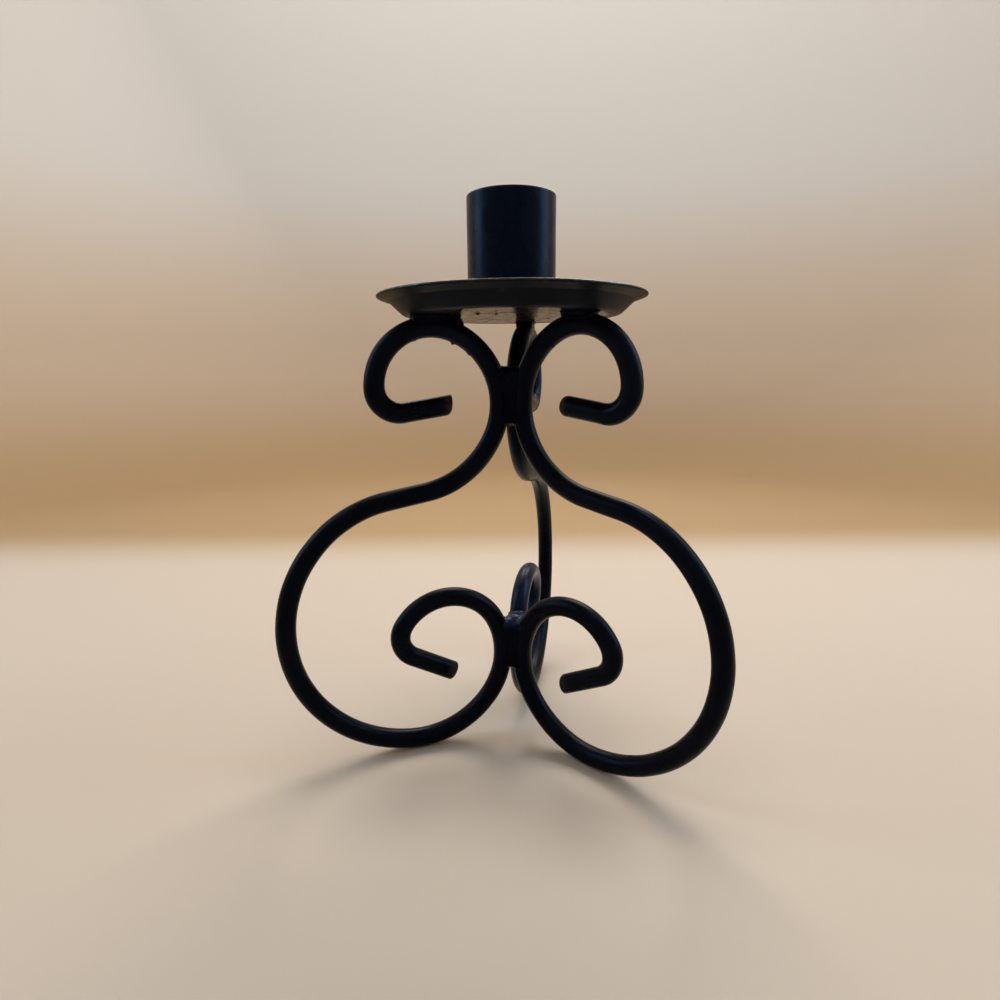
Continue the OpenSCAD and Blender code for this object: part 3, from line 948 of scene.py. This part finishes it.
def makeEnamel(name):
    s = enamelLooks[name]
    material = bpy.data.materials.new(name)
    material.use_nodes = True
    tree = material.node_tree
    shader = tree.nodes["Principled BSDF"]
    skin = addNode(tree, "ShaderNodeGroup", node_tree=paintSkin)
    for label, key in (("Peel Size", "peelSize"), ("Peel", "peel"), ("Sag", "sag"), ("Nibs", "nibs")):
        skin.inputs[label].default_value = s[key]
    worn = addNode(tree, "ShaderNodeGroup", node_tree=edgeWear)
    worn.inputs["Amount"].default_value = s["wear"]
    dust = addNode(tree, "ShaderNodeGroup", node_tree=settledDust)
    dust.inputs["Amount"].default_value = s["dust"]
    layer = addNode(tree, "ShaderNodeAttribute", attribute_name="bare")
    where = millimetres(tree)
    flakes = ramp(tree, noiseOf(tree, where, 1.3, 5, 0.7), 0.30, 0.62)
    gone = mathOf(tree, "MULTIPLY", layer.outputs["Fac"], flakes)
    gone = mathOf(tree, "MAXIMUM", gone, mathOf(tree, "MULTIPLY", worn.outputs["Mask"], 0.7), clamp=True)

    toned = ramp(tree, skin.outputs["Tone"], 0.35, 0.68)
    color = mixColors(tree, toned, s["base"], s["tone"])
    glossAndSheenLayer = addNode(tree, "ShaderNodeAttribute", attribute_name="glossAndSheen")
    patchy = ramp(tree, noiseOf(tree, where, 0.5, 3, 0.6), 0.3, 0.7, 0.45, 1)
    glossAndSheenMask = mathOf(tree, "MULTIPLY", glossAndSheenLayer.outputs["Fac"], patchy)
    # Painted highlight: a blue sheen mixed into the base colour where the gloss mask lies, on rod and
    # weld
    paintedSheen = mathOf(tree, "MULTIPLY", glossAndSheenMask, s["paintedSheen"])
    color = mixColors(tree, paintedSheen, color, underPaint["paintedSheen"])
    color = mixColors(tree, gone, color, underPaint["bare"])
    color = mixColors(tree, dust.outputs["Mask"], color, underPaint["dust"])
    tree.links.new(color, shader.inputs["Base Color"])
    rough = ramp(tree, skin.outputs["Tone"], 0.3, 0.7, *s["rough"])
    rough = mathOf(tree, "ADD", rough, mathOf(tree, "MULTIPLY", gone, 0.3))
    rough = mathOf(tree, "ADD", rough, mathOf(tree, "MULTIPLY", dust.outputs["Mask"], 0.5), clamp=True)
    tree.links.new(rough, shader.inputs["Roughness"])
    bump = addNode(tree, "ShaderNodeBump", {"Strength": 1, "Distance": mm})
    lowered = mathOf(tree, "SUBTRACT", skin.outputs["Height"], mathOf(tree, "MULTIPLY", gone, 0.03))
    tree.links.new(lowered, bump.inputs["Height"])
    tree.links.new(bump.outputs["Normal"], shader.inputs["Normal"])
    shader.inputs["Specular IOR Level"].default_value = s["specular"]
    shader.inputs["Specular Tint"].default_value = (*underPaint["tint"], 1)
    tree.links.new(mathOf(tree, "MULTIPLY", glossAndSheenMask, s["coat"]), shader.inputs["Coat Weight"])
    shader.inputs["Coat Roughness"].default_value = s["coatRough"]
    return material


def paint(piece, material):
    piece.data.materials.clear()
    piece.data.materials.append(material)


enamels = {name: makeEnamel(name) for name in enamelLooks}
for leg in legs.values():
    paint(leg, enamels["rodEnamel"])
for weld in welds:
    paint(weld, enamels["weldEnamel"])
paint(pan, enamels["panEnamel"])
paint(cup, enamels["cupEnamel"])
print("painted")

# Stage: a pale floor that curves up into a ring of backdrop, and soft lamps
stageSet = {  # mm
    "radius": 700,
    "height": 1150,
    "cove": 160,
    "floorColor": (0.55, 0.452, 0.36),
    "wallTurn": 0.2119,  # radians to the left of +Y, where the wall behind the object lies
    "farEdge": (175, 270),  # distances that way over which the floor passes into the wall's colour
    "lowColor": (0.385, 0.248, 0.127),  # of the wall behind the object low down, painted darker there: painted shade
    "middleColor": (0.605, 0.48, 0.36),
    "highColor": (0.655, 0.615, 0.568),
    "lowRise": (0, 190),  # heights between which the low colour passes into the middle one
    "highRise": (160, 360),
    "grain": 0.03,  # height of the paper's grain
}


def buildStage():
    s = stageSet
    sides = 96
    profile = [(max(r, 1), 0) for r in np.linspace(0, s["radius"] - s["cove"], 14)]
    for angle in np.linspace(-90, 0, 12)[1:]:
        spot = np.array([s["radius"] - s["cove"], s["cove"]]) + s["cove"] * toward(angle)
        profile.append(tuple(spot))
    profile += [(s["radius"], z) for z in np.linspace(s["cove"], s["height"], 12)[1:]]
    points, faces = revolve(profile, sides, False)
    faces.append(range(sides))
    return addPiece("backdrop", points, faces, stage=True)


def makeBackdrop():
    s = stageSet
    material = bpy.data.materials.new("backdropPaper")
    material.use_nodes = True
    tree = material.node_tree
    shader = tree.nodes["Principled BSDF"]
    turned = addNode(tree, "ShaderNodeVectorRotate", {"Angle": -s["wallTurn"]}, rotation_type="Z_AXIS")
    tree.links.new(millimetres(tree), turned.inputs["Vector"])
    axes = tree.nodes.new("ShaderNodeSeparateXYZ")
    tree.links.new(turned.outputs[0], axes.inputs[0])
    # Painted shade and light: the wall behind is painted darker low down and paler high up, as a lamp
    # lighting it from above would make it
    farWall = ramp(tree, axes.outputs["Y"], *s["farEdge"])
    lowWall = ramp(tree, axes.outputs["Z"], *s["lowRise"])
    highWall = ramp(tree, axes.outputs["Z"], *s["highRise"])
    around = mixColors(tree, highWall, s["floorColor"], s["highColor"])
    behind = mixColors(tree, lowWall, s["lowColor"], s["middleColor"])
    behind = mixColors(tree, highWall, behind, s["highColor"])
    color = mixColors(tree, farWall, around, behind)
    tree.links.new(color, shader.inputs["Base Color"])
    grain = noiseOf(tree, millimetres(tree), 1.5, 4, 0.6)
    bump = addNode(tree, "ShaderNodeBump", {"Strength": 0.3, "Distance": s["grain"] * mm})
    tree.links.new(grain, bump.inputs["Height"])
    tree.links.new(bump.outputs["Normal"], shader.inputs["Normal"])
    tree.links.new(ramp(tree, grain, 0.3, 0.7, 0.55, 0.7), shader.inputs["Roughness"])
    shader.inputs["Specular IOR Level"].default_value = 0.25
    return material


backdrop = buildStage()
paint(backdrop, makeBackdrop())

lampSet = {  # place and aim in metres, width and height in metres, strength, colour
    "overhead": ((-0.02, 0.46, 0.60), (-0.02, -0.475, 0.247), 0.48, 0.34, 6.8, (1.0, 0.94, 0.84)),
    "wallWash": ((0.0, 0.10, 1.05), (0, 0.70, 0.60), 0.60, 0.25, 10.0, (1.0, 0.98, 0.96)),
    "leftWindow": ((-0.55, -0.09, 0.42), (0, 0, 0.10), 0.24, 0.50, 3.6, (0.50, 0.74, 1.0)),
    "rightWindow": ((0.54, 0.14, 0.42), (0, 0, 0.10), 0.30, 0.50, 3.6, (0.50, 0.74, 1.0)),
}


def addLamp(name, place, aim, width, height, strength, color):
    data = bpy.data.lights.new(name, "AREA")
    data.shape = "RECTANGLE"
    data.size = width
    data.size_y = height
    data.energy = strength * math.pi * width * height  # strength 1 looks white
    data.color = color
    lamp = bpy.data.objects.new(name, data)
    bpy.context.scene.collection.objects.link(lamp)
    lamp.location = place
    lamp.rotation_euler = (Vector(aim) - Vector(place)).to_track_quat("-Z", "Y").to_euler()
    lamp.visible_camera = False


for name, values in lampSet.items():
    addLamp(name, *values)
roomLight = {"Color": (0.95, 0.97, 1.0, 1), "Strength": 0.3}
world = bpy.data.worlds.new("softRoom")
bpy.context.scene.world = world
world.use_nodes = True
for label, value in roomLight.items():
    world.node_tree.nodes["Background"].inputs[label].default_value = value
print("stage and lamps set")

low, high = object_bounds()
spare = [round((a - b) / mm, 3) for a, b in zip((*low, *high), (*cadLow, *cadHigh))]
print("visual against CAD box, mm:", spare)
